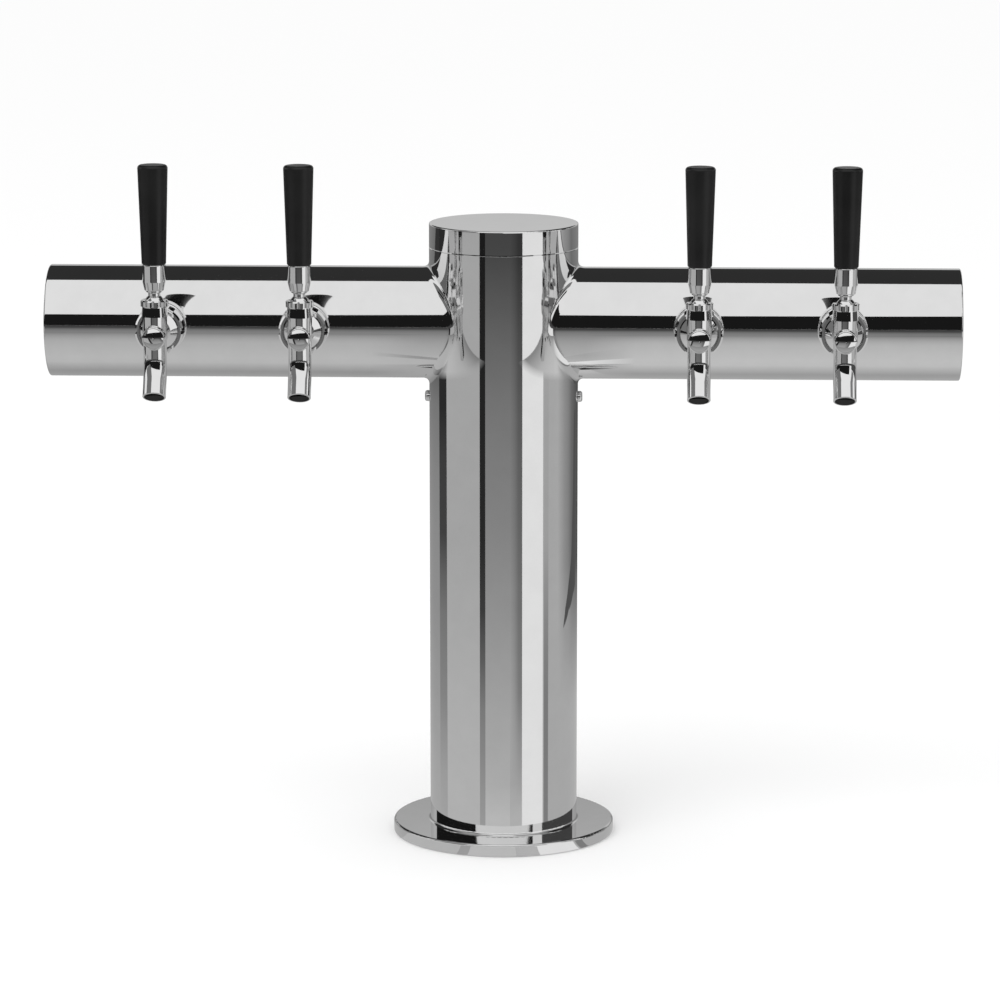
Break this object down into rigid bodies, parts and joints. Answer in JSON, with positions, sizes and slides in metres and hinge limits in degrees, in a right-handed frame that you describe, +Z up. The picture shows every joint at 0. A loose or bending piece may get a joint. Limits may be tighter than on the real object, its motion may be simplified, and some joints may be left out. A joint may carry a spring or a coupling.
{
  "type": "draught beer tower",
  "caption": "Polished metal draught beer tower: a round column on a flanged base with level side arms, and lever taps with tapered black handles and forward-tilted spouts.",
  "frame": {"origin": "centre of the base flange's underside, where it stands on the bar top", "axes": "+X along the right arm, -Y towards the drinker (the taps face it), +Z up the column"},
  "size_m": [0.62, 0.177, 0.4725],
  "materials": {
    "polished_steel": "mirror polished stainless steel",
    "chromed_brass": "bright plated brass",
    "satin_steel": "satin stainless steel",
    "plain_brass": "machined brass",
    "black_plastic": "satin black",
    "black_rubber": "matte",
    "white_plastic": "matte",
    "grey_plastic": "matte",
    "clear_hose": "milky translucent hose",
    "grey_foam": "closed-cell foam"
  },
  "bodies": {
    "tower": {"base_flange": "polished_steel", "base_gasket": "black_rubber", "column_tube": "polished_steel", "left_arm_tube": "polished_steel", "right_arm_tube": "polished_steel", "left_end_cap": "polished_steel", "right_end_cap": "polished_steel", "side_screws": "polished_steel", "line_bracket": "satin_steel", "column_insulation": "grey_foam", "faucet_shanks": "chromed_brass", "shank_flanges": "chromed_brass", "shank_saddle_washers": "grey_plastic", "shank_lock_nuts": "plain_brass", "coupling_nuts": "chromed_brass", "coupling_gaskets": "black_rubber", "tail_elbows": "chromed_brass", "elbow_nuts": "chromed_brass", "line_splicers": "satin_steel", "line_clamps": "satin_steel", "ball_washers": "white_plastic", "beer_line_1": "clear_hose", "tap_1_faucet_body": "chromed_brass", "tap_1_bonnet": "chromed_brass", "beer_line_2": "clear_hose", "tap_2_faucet_body": "chromed_brass", "tap_2_bonnet": "chromed_brass", "beer_line_3": "clear_hose", "tap_3_faucet_body": "chromed_brass", "tap_3_bonnet": "chromed_brass", "beer_line_4": "clear_hose", "tap_4_faucet_body": "chromed_brass", "tap_4_bonnet": "chromed_brass"},
    "cap": {"top_cap": "polished_steel", "cap_o_ring": "black_rubber"},
    "lever_1": {"tap_1_lever": "chromed_brass", "tap_1_lever_collar": "chromed_brass", "tap_1_handle": "black_plastic", "tap_1_handle_insert": "plain_brass"},
    "valve_1": {"tap_1_valve_shaft": "satin_steel", "tap_1_valve_seal": "black_rubber"},
    "lever_2": {"tap_2_lever": "chromed_brass", "tap_2_lever_collar": "chromed_brass", "tap_2_handle": "black_plastic", "tap_2_handle_insert": "plain_brass"},
    "valve_2": {"tap_2_valve_shaft": "satin_steel", "tap_2_valve_seal": "black_rubber"},
    "lever_3": {"tap_3_lever": "chromed_brass", "tap_3_lever_collar": "chromed_brass", "tap_3_handle": "black_plastic", "tap_3_handle_insert": "plain_brass"},
    "valve_3": {"tap_3_valve_shaft": "satin_steel", "tap_3_valve_seal": "black_rubber"},
    "lever_4": {"tap_4_lever": "chromed_brass", "tap_4_lever_collar": "chromed_brass", "tap_4_handle": "black_plastic", "tap_4_handle_insert": "plain_brass"},
    "valve_4": {"tap_4_valve_shaft": "satin_steel", "tap_4_valve_seal": "black_rubber"}
  },
  "joints": [
    {"name": "cap_lift", "type": "slide", "parent": "tower", "child": "cap", "axis": [0, 0, 1], "range_m": [0, 0.04]},
    {"name": "lever_1_pull", "type": "hinge", "parent": "tower", "child": "lever_1", "pos_m": [-0.229, -0.084, 0.3795], "axis": [1, 0, 0], "range_deg": [0, 25]},
    {"name": "valve_1_slide", "type": "slide", "parent": "tower", "child": "valve_1", "axis": [0, 1, 0], "range_m": [0, 0.00782]},
    {"name": "lever_2_pull", "type": "hinge", "parent": "tower", "child": "lever_2", "pos_m": [-0.1325, -0.084, 0.3795], "axis": [1, 0, 0], "range_deg": [0, 25]},
    {"name": "valve_2_slide", "type": "slide", "parent": "tower", "child": "valve_2", "axis": [0, 1, 0], "range_m": [0, 0.00782]},
    {"name": "lever_3_pull", "type": "hinge", "parent": "tower", "child": "lever_3", "pos_m": [0.1325, -0.084, 0.3795], "axis": [1, 0, 0], "range_deg": [0, 25]},
    {"name": "valve_3_slide", "type": "slide", "parent": "tower", "child": "valve_3", "axis": [0, 1, 0], "range_m": [0, 0.00782]},
    {"name": "lever_4_pull", "type": "hinge", "parent": "tower", "child": "lever_4", "pos_m": [0.229, -0.084, 0.3795], "axis": [1, 0, 0], "range_deg": [0, 25]},
    {"name": "valve_4_slide", "type": "slide", "parent": "tower", "child": "valve_4", "axis": [0, 1, 0], "range_m": [0, 0.00782]}
  ],
  "couplings": [
    {"joint": "valve_1_slide", "follows": "lever_1_pull", "m_per_rad": 0.017919},
    {"joint": "valve_2_slide", "follows": "lever_2_pull", "m_per_rad": 0.017919},
    {"joint": "valve_3_slide", "follows": "lever_3_pull", "m_per_rad": 0.017919},
    {"joint": "valve_4_slide", "follows": "lever_4_pull", "m_per_rad": 0.017919}
  ]
}
